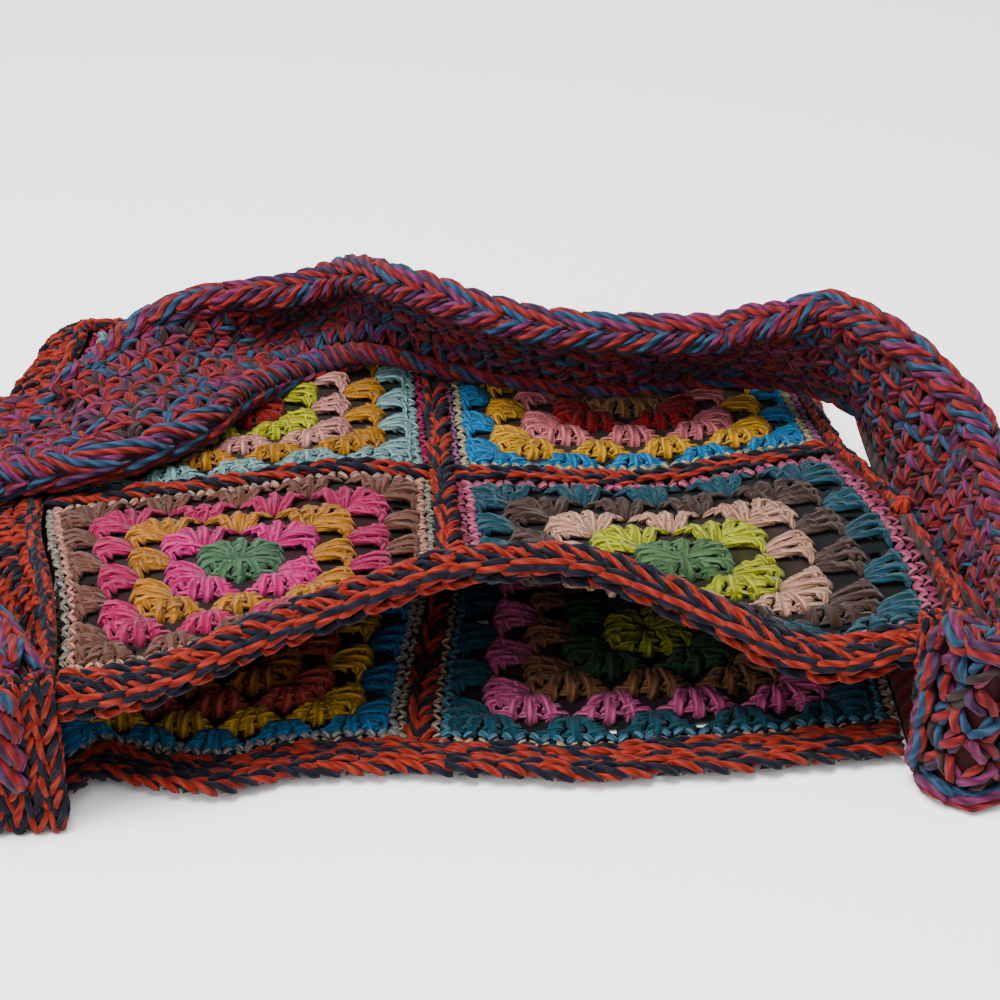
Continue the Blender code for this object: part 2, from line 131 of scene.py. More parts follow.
FRONT_SECTIONS = (
    # x, edge_y, edge_z, dip_y, dip_z, rise_y, rise_z, seam_z, mid_z, far_z
    (-1.00, -0.03, 1.04, 0.30, 1.01, 0.56, 0.96, 0.70, 0.66, 0.78),
    (-0.75, 0.00, 1.07, 0.30, 1.02, 0.56, 0.98, 0.77, 0.64, 0.70),
    (-0.50, 0.09, 1.22, 0.33, 1.00, 0.57, 0.95, 0.84, 0.63, 0.64),
    (-0.25, 0.16, 1.38, 0.38, 1.01, 0.59, 0.93, 0.93, 0.63, 0.62),
    (0.00, 0.22, 1.53, 0.44, 1.01, 0.64, 0.84, 0.82, 0.66, 0.60),
    (0.26, 0.23, 1.49, 0.42, 0.96, 0.59, 0.82, 0.76, 0.64, 0.53),
    (0.42, 0.19, 1.30, 0.37, 0.87, 0.55, 0.83, 0.71, 0.61, 0.50),
    (0.55, 0.14, 1.11, 0.34, 0.82, 0.53, 0.85, 0.70, 0.60, 0.50),
    (0.68, 0.09, 0.91, 0.31, 0.81, 0.53, 0.88, 0.76, 0.60, 0.50),
    (0.80, 0.07, 0.86, 0.30, 0.87, 0.54, 0.93, 0.82, 0.60, 0.50),
    (0.90, 0.08, 0.93, 0.29, 0.96, 0.56, 0.97, 0.86, 0.58, 0.50),
    (1.00, 0.05, 1.03, 0.29, 1.03, 0.57, 1.00, 0.90, 0.57, 0.50),
)
BACK_MOUTH_WAVES = (
    # x, wave_y
    (-1.00, -0.45), (-0.92, 0.05), (-0.84, 0.60), (-0.72, 0.35), (-0.60, 0.05), (-0.47, -0.05),
    (-0.33, 0.30), (-0.06, 0.30), (0.19, 0.00), (0.38, -0.25), (0.52, -0.15), (0.66, -0.15),
    (0.87, 0.00), (1.00, 0.10),
)
DIP_SHARE = 0.24
RISE_SHARE = 0.50
WAVE_REACH = 0.045
ROLL_OVER = (0.8, 0.6)


def smoothstep(share):
    share = min(max(share, 0.0), 1.0)
    return share * share * (3 - 2 * share)


def smooth_row(table, key):
    """One row of a table, interpolated smoothly at key, a value of its first column."""
    rows = np.array(table, float)
    keys = rows[:, 0]
    key = min(max(key, keys[0]), keys[-1])
    last = len(rows) - 1
    i = min(int(np.searchsorted(keys, key, side="right")) - 1, last - 1)
    before, after = max(i - 1, 0), min(i + 2, last)
    span = keys[i + 1] - keys[i]
    slope_1 = (rows[i + 1] - rows[before]) / (keys[i + 1] - keys[before])
    slope_2 = (rows[after] - rows[i]) / (keys[after] - keys[i])
    u = (key - keys[i]) / span
    return ((2 * u ** 3 - 3 * u ** 2 + 1) * rows[i] + (u ** 3 - 2 * u ** 2 + u) * span * slope_1
            + (3 * u ** 2 - 2 * u ** 3) * rows[i + 1] + (u ** 3 - u ** 2) * span * slope_2)


def across(s):
    return s / -LEFT if s < 0 else s / RIGHT


def sideways(s, t, flare, tuck):
    share = across(s)
    toward_mouth = max(t / NEAR, 0.0)
    if share > 0:
        move = flare * share * math.sin(FLARE_TURN * min(toward_mouth, FLARE_REACH))
    else:
        move = tuck * share ** 2 * smoothstep(toward_mouth)
    corner = RIGHT if s > 0 else LEFT
    near_corner = 1 - smoothstep(math.hypot(s - corner, t - FAR) / CORNER_REACH)
    return move - math.copysign(CORNER_PULL * near_corner, corner), CORNER_PULL * near_corner


def front(s, t):
    _, edge_y, edge_z, dip_y, dip_z, rise_y, rise_z, seam_z, mid_z, far_z = smooth_row(
        FRONT_SECTIONS, across(s))
    edge_t = NEAR - FRONT_BAND_WIDTH / 2
    knots = (
        (edge_t, MOUTH_LINE + edge_y * SQUARE_DEPTH, edge_z * SIDE_HEIGHT),
        (NEAR + DIP_SHARE * SQUARE_DEPTH, MOUTH_LINE + dip_y * SQUARE_DEPTH, dip_z * SIDE_HEIGHT),
        (NEAR + RISE_SHARE * SQUARE_DEPTH, MOUTH_LINE + rise_y * SQUARE_DEPTH,
         rise_z * SIDE_HEIGHT),
        (0.0, 0.0, seam_z * SIDE_HEIGHT),
        (FAR / 2, FAR / 2, mid_z * SIDE_HEIGHT),
        (FAR, FAR, far_z * SIDE_HEIGHT),
    )
    _, y, z = smooth_row(knots, t)
    past_edge = max(edge_t - t, 0.0)
    move_x, move_y = sideways(s, t, 0.019, 0.017)
    return Vector((s + move_x, y - move_y - ROLL_OVER[0] * past_edge,
                   z - ROLL_OVER[1] * past_edge))


def back(s, t):
    depth_share = (t - NEAR) / (FAR - NEAR)
    set_back = BACK_SET_BACK * (1 - (1 - BACK_FAR_SHARE) * depth_share)
    wave = smooth_row(BACK_MOUTH_WAVES, across(s))[1] * BACK_BAND_WIDTH
    fade = 1 - smoothstep((t - NEAR) / WAVE_REACH)
    move_x, move_y = sideways(s, t, 0.006, 0.006)
    move_x += BACK_SEAM_SHIFT * (1 - across(s) ** 2) * smoothstep(t / NEAR)
    return Vector((s + move_x, t + set_back - move_y + wave * fade, 0.0))


class Cloth:
    """A surface sampled once. It turns flat places and heights over it into points."""

    def __init__(self, a_values, b_values, points, outward=1):
        self.a_values, self.b_values = np.array(a_values), np.array(b_values)
        self.points = np.array(points, float)
        along, over = np.gradient(self.points, axis=0), np.gradient(self.points, axis=1)
        normals = np.cross(along, over) * outward
        self.normals = normals / np.linalg.norm(normals, axis=2, keepdims=True).clip(1e-12)

    def sample(self, grid, a, b):
        i = np.interp(a, self.a_values, np.arange(len(self.a_values)))
        j = np.interp(b, self.b_values, np.arange(len(self.b_values)))
        i_low = np.minimum(i.astype(int), len(self.a_values) - 2)
        j_low = np.minimum(j.astype(int), len(self.b_values) - 2)
        u, v = (i - i_low)[..., None], (j - j_low)[..., None]
        return ((grid[i_low, j_low] * (1 - u) + grid[i_low + 1, j_low] * u) * (1 - v)
                + (grid[i_low, j_low + 1] * (1 - u) + grid[i_low + 1, j_low + 1] * u) * v)

    def facing(self, a, b):
        found = self.sample(self.normals, a, b)
        return found / np.linalg.norm(found, axis=-1, keepdims=True)

    def place(self, a, b, height):
        return self.sample(self.points, a, b) + self.facing(a, b) * height[..., None]


def panel_cloth(surface, band_width):
    s_values = np.linspace(LEFT - 0.003, RIGHT + 0.003, 110)
    t_values = np.linspace(NEAR - band_width - 0.002, FAR + 0.003, 110)
    return Cloth(s_values, t_values, [[surface(s, t) for t in t_values] for s in s_values])


front_cloth = panel_cloth(front, FRONT_BAND_WIDTH)
back_cloth = panel_cloth(back, BACK_BAND_WIDTH)


class Wire:
    """A value in a shader. Its operators add Math nodes."""

    def __init__(self, finish, socket):
        self.finish, self.socket = finish, socket

    def maths(self, operation, *values):
        return self.finish.node("ShaderNodeMath", {"operation": operation},
                                dict(enumerate(values)))

    def __add__(self, other):
        return self.maths("ADD", self, other)

    def __sub__(self, other):
        return self.maths("SUBTRACT", self, other)

    def __rsub__(self, other):
        return self.maths("SUBTRACT", other, self)

    def __mul__(self, other):
        return self.maths("MULTIPLY", self, other)

    __radd__, __rmul__ = __add__, __mul__

    def sine(self):
        return self.maths("SINE", self)


class Finish:
    """A material in the making."""

    def __init__(self, name, roughness):
        self.material = bpy.data.materials.new(name)
        self.material.use_nodes = True
        self.tree = self.material.node_tree
        self.shader = self.tree.nodes["Principled BSDF"]
        self.shader.inputs["Roughness"].default_value = roughness

    def plug(self, socket, value):
        if isinstance(value, Wire):
            self.tree.links.new(value.socket, socket)
        else:
            socket.default_value = value

    def node(self, kind, settings, inputs, output=0):
        node = self.tree.nodes.new(kind)
        for setting, value in settings.items():
            setattr(node, setting, value)
        for key, value in inputs.items():
            self.plug(node.inputs[key], value)
        return Wire(self, node.outputs[output])


FIBRES_ALONG = 160.0
FIBRES_AROUND = 11.0
FIBRE_SLANT = 260.0
UNEVEN_SCALE = 240.0
GROOVE_DEPTH = 0.0009
YARN_ROUGHNESS = 0.85
YARN_SHINE = 0.12


def yarn_finish(name, plies, turn_length, fibre_depth, sheen):
    """Yarn of twisted plies: their grooves, bumped and also painted darker as shade, the fibres
    along them and uneven dye.
    """
    finish = Finish(name, YARN_ROUGHNESS)
    dye = finish.node("ShaderNodeAttribute", {"attribute_name": "dye"}, {}, "Color")
    chance = finish.node("ShaderNodeAttribute", {"attribute_name": "dye"}, {}, "Alpha")
    place = finish.node("ShaderNodeUVMap", {"uv_map": "strand"}, {})
    along = finish.node("ShaderNodeSeparateXYZ", {}, {0: place}, "X")
    around = finish.node("ShaderNodeSeparateXYZ", {}, {0: place}, "Y")
    turns = around * plies + along * (1 / turn_length) + chance
    groove = (turns * (2 * math.pi)).sine() * 0.5 + 0.5
    stretched = finish.node("ShaderNodeCombineXYZ", {}, {
        0: along * FIBRES_ALONG, 1: around * FIBRES_AROUND + along * FIBRE_SLANT,
        2: chance * 37.0})
    fibre = finish.node("ShaderNodeTexNoise", {}, {
        "Vector": stretched, "Scale": 1.0, "Detail": 2.0, "Roughness": 0.6})
    where = finish.node("ShaderNodeTexCoord", {}, {}, "Object")
    uneven = finish.node("ShaderNodeTexNoise", {}, {
        "Vector": where, "Scale": UNEVEN_SCALE, "Detail": 2.0, "Roughness": 0.5})
    # The dye is darkened in the ply grooves, which is painted shade, and varied by the fibres and
    # by uneven dye, which are the yarn's own.
    shade = (0.20 + groove * 0.26) * (0.60 + fibre * 0.60) * (0.66 + uneven * 0.56)
    colour = finish.node("ShaderNodeMix", {"data_type": "RGBA", "blend_type": "MULTIPLY"},
                         {0: 1.0, 6: dye, 7: shade}, 2)
    finish.plug(finish.shader.inputs["Base Color"], colour)
    height = groove * 1.0 + fibre * fibre_depth
    bump = finish.node("ShaderNodeBump", {}, {
        "Strength": 1.0, "Distance": GROOVE_DEPTH, "Height": height})
    finish.plug(finish.shader.inputs["Normal"], bump)
    finish.shader.inputs["Sheen Weight"].default_value = sheen
    finish.shader.inputs["Sheen Roughness"].default_value = 0.5
    finish.shader.inputs["Specular IOR Level"].default_value = YARN_SHINE
    return finish.material


DYE_STRENGTH = 1.2


def dye(red, green, blue):
    """A dye as the eye sees it, from 0 to 255, turned into the light that it reflects."""
    light = [(value / 255) ** 2.2 for value in (red, green, blue)]
    grey = sum(light) / 3
    return tuple(max(grey + (value - grey) * DYE_STRENGTH, 0.002) for value in light)


soft_yarn = yarn_finish("soft_yarn", 3, 0.012, 0.9, 0.04)
fuzzy_yarn = yarn_finish("fuzzy_yarn", 3, 0.014, 1.6, 0.08)

NAVY = dye(34, 32, 50)
CORAL = dye(186, 70, 60)
SQUARES = {
    # place: yarn, dyes of the five rounds from the centre, of the first and of the second edging
    "front_square_near_left": (
        fuzzy_yarn, (dye(84, 122, 88), dye(240, 62, 146), dye(212, 140, 30), dye(212, 32, 112),
                     dye(128, 82, 68)), dye(232, 168, 148), dye(182, 172, 158)),
    "front_square_near_right": (
        fuzzy_yarn, (dye(92, 128, 84), dye(206, 210, 36), dye(238, 184, 158), dye(82, 60, 52),
                     dye(16, 82, 98)), dye(222, 116, 150), dye(176, 84, 112)),
    "front_square_far_left": (
        soft_yarn, (dye(160, 12, 40), dye(212, 210, 34), dye(236, 168, 158), dye(208, 144, 40),
                    dye(154, 192, 192)), dye(150, 190, 190), dye(190, 44, 106)),
    "front_square_far_right": (
        soft_yarn, (dye(176, 126, 88), dye(168, 14, 50), dye(238, 140, 148), dye(244, 180, 36),
                    dye(14, 138, 194)), dye(206, 192, 158), dye(164, 112, 152)),
    "back_square_near_left": (
        soft_yarn, (dye(120, 24, 28), dye(200, 126, 36), dye(206, 100, 90), dye(242, 188, 28),
                    dye(14, 132, 186)), dye(176, 176, 176), dye(206, 190, 168)),
    "back_square_near_right": (
        soft_yarn, (dye(168, 168, 40), dye(50, 84, 52), dye(156, 108, 80), dye(226, 114, 162),
                    dye(14, 82, 98)), dye(90, 136, 160), dye(214, 182, 158)),
    "back_square_far_left": (
        soft_yarn, (dye(208, 144, 40), dye(206, 38, 118), dye(92, 128, 84), dye(236, 168, 158),
                    dye(154, 192, 192)), dye(206, 192, 158), dye(206, 190, 168)),
    "back_square_far_right": (
        soft_yarn, (dye(168, 14, 50), dye(244, 180, 36), dye(238, 184, 158), dye(84, 122, 88),
                    dye(128, 82, 68)), dye(232, 168, 148), dye(206, 190, 168)),
}
ROUNDS = 5
EDGING_WIDTH = 0.006


def square_place(node):
    """The flat middle of a square and its half sizes."""
    left, near = "left" in node, "near" in node
    s_low, s_high = (LEFT, -HALF_SEAM) if left else (HALF_SEAM, RIGHT)
    t_low, t_high = (NEAR, -HALF_SEAM) if near else (HALF_SEAM, FAR)
    return ((s_low + s_high) / 2, (t_low + t_high) / 2,
            (s_high - s_low) / 2, (t_high - t_low) / 2)


def make_piece(name, material, replaced, points, corners, sizes, uvs, dyes):
    """One joined mesh from arrays, with its strand map and its dyes."""
    points[:, 2] = np.maximum(points[:, 2], 0.0002)
    mesh = bpy.data.meshes.new(name)
    mesh.vertices.add(len(points))
    mesh.vertices.foreach_set("co", points.astype(np.float32).ravel())
    mesh.loops.add(len(corners))
    mesh.loops.foreach_set("vertex_index", corners.astype(np.int32))
    mesh.polygons.add(len(sizes))
    starts = np.concatenate([[0], np.cumsum(sizes)[:-1]])
    mesh.polygons.foreach_set("loop_start", starts.astype(np.int32))
    mesh.update(calc_edges=True)
    mesh.uv_layers.new(name="strand").data.foreach_set("uv", uvs.astype(np.float32).ravel())
    # The dye attribute holds each strand's dye and a random value; on the webs its colour is
    # painted shade.
    attribute = mesh.color_attributes.new("dye", "FLOAT_COLOR", "POINT")
    attribute.data.foreach_set("color", dyes.astype(np.float32).ravel())
    mesh.shade_smooth()
    mesh.materials.append(material)
    piece = bpy.data.objects.new(name, mesh)
    bpy.context.scene.collection.objects.link(piece)
    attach(piece, "root")
    if replaced:
        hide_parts(*replaced)
    return piece


def web_lines(start, end):
    """Grid lines across a square, with the gaps beside its edging, none far apart."""
    side = end - start
    lines = [0.0, 0.011, 0.015]
    for k in range(1, ROUNDS):
        lines += [side * k / ROUNDS - 0.002, side * k / ROUNDS + 0.002]
    lines += [side - 0.015, side - 0.011, side]
    fine = []
    for low, high in zip(lines, lines[1:]):
        steps = max(1, round((high - low) / 0.005))
        fine += [(start + low + (high - low) * k / steps) for k in range(steps)]
    return fine + [end], [start + line for line in lines]


def in_gap(place, gap_lines, inner):
    """Whether a place lies in the gap row beside an edge, or between two clusters."""
    if inner:
        return any(low < place < high for low, high in zip(gap_lines[3:-3:2], gap_lines[4:-3:2]))
    return gap_lines[1] < place < gap_lines[2] or gap_lines[-3] < place < gap_lines[-2]


# Painted shade: the panel webs take each round's dye times this, almost black, where shade falls
# between the clusters.
WEB_PAINTED_SHADE = 0.04
FRONT_WEB_BAND = 0.006
BACK_WEB_BAND = 0.012


def add_web(name, cloth, band_dye, low, high, band):
    """The thin web of a panel, as a closed sheet that is open in the gaps, painted almost black as
    shade between the clusters.
    """
    left, left_gaps = web_lines(LEFT, -HALF_SEAM)
    right, right_gaps = web_lines(HALF_SEAM, RIGHT)
    near, near_gaps = web_lines(NEAR, -HALF_SEAM)
    far, far_gaps = web_lines(HALF_SEAM, FAR)
    s_lines = np.array(left + right)
    t_lines = np.array([NEAR - band] + near + far)
    count_s, count_t = len(s_lines), len(t_lines)
    s, t = np.meshgrid(s_lines, t_lines, indexing="ij")
    levels = [cloth.place(s, t, np.full(s.shape, height)).reshape(-1, 3) for height in (low, high)]
    shades = np.zeros((count_s, count_t, 4))
    for i in range(count_s):
        for j in range(count_t):
            column = "left" if s_lines[i] < 0 else "right"
            row = "near" if t_lines[j] < 0 else "far"
            node = f"{name.split('_')[0]}_square_{row}_{column}"
            middle_s, middle_t, half_s, half_t = square_place(node)
            share = max(abs(s_lines[i] - middle_s) / half_s, abs(t_lines[j] - middle_t) / half_t)
            ring = int(share * (ROUNDS + 0.4))
            shade = SQUARES[node][1][ring] if ring < ROUNDS else band_dye
            # painted shade: the round's dye, darkened almost to black
            shades[i, j] = (*(WEB_PAINTED_SHADE * value for value in shade), 0.5)
    filled = set()
    for i in range(count_s - 1):
        for j in range(count_t - 1):
            s_mid, t_mid = (s_lines[i] + s_lines[i + 1]) / 2, (t_lines[j] + t_lines[j + 1]) / 2
            gaps_s = left_gaps if s_mid < 0 else right_gaps
            gaps_t = near_gaps if t_mid < 0 else far_gaps
            gap = (in_gap(s_mid, gaps_s, False) and in_gap(t_mid, gaps_t, True)
                   or in_gap(s_mid, gaps_s, True) and in_gap(t_mid, gaps_t, False))
            if not gap:
                filled.add((i, j))
    total = count_s * count_t
    faces = []
    for i, j in sorted(filled):
        ring = [(i, j), (i + 1, j), (i + 1, j + 1), (i, j + 1)]
        index = [a * count_t + b for a, b in ring]
        faces.append([total + k for k in index])
        faces.append(index[::-1])
        for k, neighbour in enumerate(((i, j - 1), (i + 1, j), (i, j + 1), (i - 1, j))):
            if neighbour not in filled:
                p, q = index[k], index[(k + 1) % 4]
                faces.append([p, q, total + q, total + p])
    corners = np.array(faces).ravel()
    points = np.concatenate(levels)
    flat = np.stack([s, t], axis=-1).reshape(-1, 2)
    uvs = np.concatenate([flat, flat])[corners]
    dyes = np.concatenate([shades.reshape(-1, 4)] * 2)
    return make_piece(name, fuzzy_yarn, (), points, corners,
                      np.full(len(faces), 4), uvs, dyes)


front_web_painted_shade = add_web("front_panel_web", front_cloth, CORAL, -0.0004, 0.0004, FRONT_WEB_BAND)
back_web_painted_shade = add_web("back_panel_web", back_cloth, CORAL, 0.0012, 0.0020, BACK_WEB_BAND)

# The granny squares: each is five rounds of clusters, worked outward from the middle. A cluster is
# three tall stitches in one gap of the round before, so it is a fan, narrow at its foot, whose
# strands go over its rounded top and down its back. Two rows of short stitches edge the square.
POSTS = np.array((-0.64, 0.0, 0.64))
POST_PLACES = np.repeat(POSTS, 2)[:, None]
POST_PHASES = np.tile([0.0, math.pi], 3)[:, None]
POST_TWIST = 1.8
POST_RADIUS = 0.19
FAN_STRANDS = 6
FAN_FORMS = {
    # round: foot's half width, its gain toward the top, length, drop at its sides, and the length
    # and the drop of its top loops
    "first": (0.12, 0.74, 1.16, 0.18, 1.06, 0.16),
    "middle": (0.20, 0.60, 1.17, 0.18, 1.06, 0.16),
    "last": (0.22, 0.60, 1.02, 0.04, 0.92, 0.06),
}
FAN_THICKNESS = 0.0027
FAN_COURSE = np.array((
    # share of the fan's length, height in mm
    (-0.06, -0.6), (0.08, 1.1), (0.34, 2.3), (0.66, 2.9), (0.92, 2.2), (1.03, 0.2),
    (0.86, -1.8), (0.10, -1.4),
))
STRAND_SIDES = 5
WRAP_RISE = np.array((-0.0016, 0.0001, 0.0006, 0.0001, -0.0016))
WRAPS = (
    # share of the fan's length, the station of FAN_COURSE beside it, height
    (0.40, 2, 0.0027), (0.76, 4, 0.0030),
)
WRAP_SLANT = 0.34
WRAP_WIDTH, WRAP_THICKNESS = 0.0031, 0.0022
TOP_LOOPS = np.array([-0.62, 0.0, 0.62])[:, None]
TOP_LOOP_RISE = np.array([0.3, 1.6, 2.4, 1.9, 0.4])[None, :] * 0.001
TOP_LOOP_WIDTH, TOP_LOOP_THICKNESS = 0.0026, 0.0024


class Stitches:
    """Strands of yarn that are gathered into one piece."""

    def __init__(self, seed):
        self.chance = np.random.default_rng(seed)
        self.points, self.corners, self.sizes, self.uvs, self.dyes = [], [], [], [], []
        self.count = 0

    def lay(self, cloth, course, width, thickness, colours, reach=-1, sides=STRAND_SIDES):
        """Lays strands along courses of flat places and heights over a cloth."""
        self.lay_paths(cloth.place(course[..., 0], course[..., 1], course[..., 2]),
                       cloth.facing(course[..., 0], course[..., 1]), width, thickness, colours,
                       reach, sides)

    def lay_paths(self, path, facing, width, thickness, colours, reach=-1,
                  sides=STRAND_SIDES):
        """Lays strands along paths. Each ends in a point, and is width wide across facing."""
        strands, stations = path.shape[:2]
        tangent = np.gradient(path, axis=1)
        tangent /= np.linalg.norm(tangent, axis=2, keepdims=True).clip(1e-12)
        chord = (path[:, reach] - path[:, 0])[:, None, :]
        side = np.cross(np.broadcast_to(chord, path.shape), facing)
        side /= np.linalg.norm(side, axis=2, keepdims=True).clip(1e-12)
        up = np.cross(side, tangent)
        up /= np.linalg.norm(up, axis=2, keepdims=True).clip(1e-12)
        width = np.broadcast_to(width, path.shape[:2])[..., None, None]
        thickness = np.broadcast_to(thickness, path.shape[:2])[..., None, None]
        angle = np.arange(sides) * 2 * math.pi / sides
        rings = (path[:, :, None, :]
                 + side[:, :, None, :] * np.cos(angle)[None, None, :, None] * width / 2
                 + up[:, :, None, :] * np.sin(angle)[None, None, :, None] * thickness / 2)
        inner = stations - 2
        each = inner * sides + 2
        body = rings[:, 1:-1].reshape(strands, inner * sides, 3)
        points = np.concatenate([path[:, :1], body, path[:, -1:]], axis=1)
        steps = np.linalg.norm(np.diff(path, axis=1), axis=2)
        length = np.concatenate([np.zeros((strands, 1)), np.cumsum(steps, axis=1)], axis=1)

        corners, sizes, stops, turns = [], [], [], []
        for j in range(sides):
            after = (j + 1) % sides
            corners += [0, 1 + j, 1 + after]
            stops += [0, 1, 1]
            turns += [j + 0.5, j, j + 1]
            sizes.append(3)
            for k in range(inner - 1):
                first, second = 1 + k * sides, 1 + (k + 1) * sides
                corners += [first + j, second + j, second + after, first + after]
                stops += [k + 1, k + 2, k + 2, k + 1]
                turns += [j, j, j + 1, j + 1]
                sizes.append(4)
            last = 1 + (inner - 1) * sides
            corners += [each - 1, last + after, last + j]
            stops += [stations - 1, inner, inner]
            turns += [j + 0.5, j + 1, j]
            sizes.append(3)
        offsets = self.count + np.arange(strands)[:, None] * each
        self.corners.append((np.array(corners)[None, :] + offsets).ravel())
        self.sizes.append(np.tile(sizes, strands))
        self.uvs.append(np.stack([length[:, stops],
                                  np.tile(np.array(turns) / sides, (strands, 1))],
                                 axis=-1).reshape(-1, 2))
        self.points.append(points.reshape(-1, 3))
        colours = np.broadcast_to(np.array(colours, float), (strands, 3))
        shades = np.concatenate([colours, self.chance.random((strands, 1))], axis=1)
        self.dyes.append(np.repeat(shades, each, axis=0))
        self.count += strands * each

    def make(self, name, material, replaced=()):
        return make_piece(name, material, replaced, np.concatenate(self.points),
                          np.concatenate(self.corners), np.concatenate(self.sizes),
                          np.concatenate(self.uvs), np.concatenate(self.dyes))


def quarter_turned(x, y, quarter):
    """A place in a square after some quarter turns about its middle."""
    for _ in range(quarter):
        x, y = -y, x
    return x, y


def square_course(place, quarter, x, y, height):
    """A course of flat places and heights. x and y count clusters' half widths from the middle."""
    middle_s, middle_t, half_s, half_t = place
    pitch_s, pitch_t = (half_s - EDGING_WIDTH) / ROUNDS, (half_t - EDGING_WIDTH) / ROUNDS
    x, y = quarter_turned(x, y, quarter)
    return np.stack([middle_s + x * pitch_s, middle_t + y * pitch_t, height + 0 * x], axis=-1)


def add_fans(stitches, cloth, place, rounds, lift):
    """All clusters of a square: three twisted posts each, wrapped twice, under their top loops."""
    share, height = FAN_COURSE[:, 0][None, :], FAN_COURSE[:, 1][None, :] * 0.001
    wind = POST_PHASES + POST_TWIST * share
    spread = POST_PLACES + POST_RADIUS * np.cos(wind)
    opened = np.maximum(share, 0.0) ** 0.6
    width = 0.0024 + 0.0019 * np.clip(share, 0, 1)
    chance = stitches.chance
    for ring in range(1, ROUNDS + 1):
        form = "first" if ring == 1 else "last" if ring == ROUNDS else "middle"
        foot, gain, tall, drop, loop_reach, loop_drop = FAN_FORMS[form]
        fan = foot + gain * opened
        top = tall - drop * spread ** 2
        for quarter, k in [(quarter, k) for quarter in range(4) for k in range(ring)]:
            middle = 2 * k - (ring - 1)
            jitter = chance.normal(0.0, 0.025, (FAN_STRANDS, 1)) * np.maximum(share, 0)
            swing = chance.normal(0.0, 0.06)
            x = middle + spread * fan + jitter + swing * np.maximum(share, 0)
            y = ring - 1 + share * (top + chance.normal(0.0, 0.03, (FAN_STRANDS, 1)))
            rise = height * chance.uniform(0.85, 1.15) * (1 + chance.normal(
                0.0, 0.08, (FAN_STRANDS, 1)))
            rise = rise * (1.2 - 0.25 * spread ** 2) + 0.0005 * np.sin(wind)
            shade = np.array(rounds[ring - 1]) * chance.uniform(0.88, 1.12)
            stitches.lay(cloth, square_course(place, quarter, x, y, lift + rise), width,
                         FAN_THICKNESS, shade, reach=4)

            run = np.linspace(-0.40, 0.40, 5)[None, :]
            for up, station, level in WRAPS:
                x = middle + swing * up + (POSTS[:, None] + run) * fan[0, station]
                y = ring - 1 + (up + WRAP_SLANT * run) * 1.08 + 0 * x
                stitches.lay(cloth, square_course(place, quarter, x, y,
                                                  lift + level + WRAP_RISE[None, :]),
                             WRAP_WIDTH, WRAP_THICKNESS, shade)

            run = np.linspace(-0.42, 0.42, 5)[None, :]
            x = middle + TOP_LOOPS + run
            y = ring - 1 + loop_reach - loop_drop * (TOP_LOOPS + run) ** 2 + 0.10 * run
            stitches.lay(cloth, square_course(place, quarter, x, y, lift + TOP_LOOP_RISE),
                         TOP_LOOP_WIDTH, TOP_LOOP_THICKNESS, shade)


EDGING_STITCHES = 17
EDGING_ROWS = (
    # distance in from the edge, height, width
    (0.0046, 0.0023, 0.0029), (0.0013, 0.0015, 0.0022),
)


def add_edging(stitches, cloth, place, first, second, lift):
    """Two rows of short stitches around a square: plump pairs of strands, then a flat chain."""
    middle_s, middle_t, half_s, half_t = place
    for quarter in range(4):
        half_run, half_out = (half_s, half_t) if quarter % 2 == 0 else (half_t, half_s)
        run = (np.arange(EDGING_STITCHES) + 0.5) / EDGING_STITCHES * 2 - 1
        run = run * (half_run - 0.002)
        pitch = 2 * half_run / EDGING_STITCHES
        for arm in (-1, 1):
            for (inward, tall, width), shades in zip(EDGING_ROWS, (first, second)):
                shift = stitches.chance.normal(0.0, 0.0003, (EDGING_STITCHES, 1))
                steps = np.linspace(0, 1, 5)[None, :]
                x = run[:, None] + arm * (0.05 + 0.42 * steps) * pitch + shift
                y = half_out - inward - 0.0022 + 0.0040 * steps + shift
                height = lift + (0.2 + tall * 1000 * np.sin(math.pi * (
                    0.1 + 0.8 * steps))) * 0.001 + 0 * x
                x, y = quarter_turned(x, y, quarter)
                course = np.stack([middle_s + x, middle_t + y, height], axis=-1)
                stitches.lay(cloth, course, width, 0.0026, shades, sides=4)


panel_stitches = {"front": [], "back": []}
for number, (node, (yarn, rounds, first, second)) in enumerate(SQUARES.items()):
    panel = node.split("_")[0]
    cloth, lift = (front_cloth, 0.0) if panel == "front" else (back_cloth, 0.0026)
    stitches = Stitches(100 + number)
    add_fans(stitches, cloth, square_place(node), rounds, lift)
    add_edging(stitches, cloth, square_place(node), first, second, lift)
    piece = stitches.make(node + "_stitches", yarn, (node,))
    panel_stitches[panel].append(piece)

# The seams and the mouth's edges are chains of slip stitches, each a V of two arms that hold two
# yarns, coral and navy, side by side. They join the squares and close the two panels' mouth
# edges, where the front one is a thick chain that rolls over.
CHAIN_ARM = np.array((
    # along the chain in stitches, share of the half width, share of the rise
    (-0.34, 0.00, -0.5), (-0.10, 0.12, 0.3), (0.28, 0.36, 0.8), (0.66, 0.62, 1.0),
    (1.02, 0.84, 0.8), (1.28, 0.80, 0.3), (1.44, 0.48, -0.4),
))
CHAIN_SIDES = 5
firm_yarn = yarn_finish("firm_yarn", 2, 0.008, 0.8, 0.04)


def plied(course, count, size, chance):
    """Turns each course into count strands that lie around it and turn about it a little."""
    strands = []
    start = chance.uniform(0, 2 * math.pi, (len(course), 1))
    step = np.gradient(course[..., :2], axis=1)
    step /= np.linalg.norm(step, axis=2, keepdims=True).clip(1e-12)
    across_course = np.stack([-step[..., 1], step[..., 0]], axis=-1)
    turning = np.linspace(0, 0.9 * math.pi, course.shape[1])[None, :]
    for j in range(count):
        angle = start + turning + 2 * math.pi * j / count
        strand = course.copy()
        strand[..., :2] += across_course * (np.cos(angle) * size / 2)[..., None]
        strand[..., 2] += np.sin(angle) * size / 2 * 0.8
        strands.append(strand)
    return strands


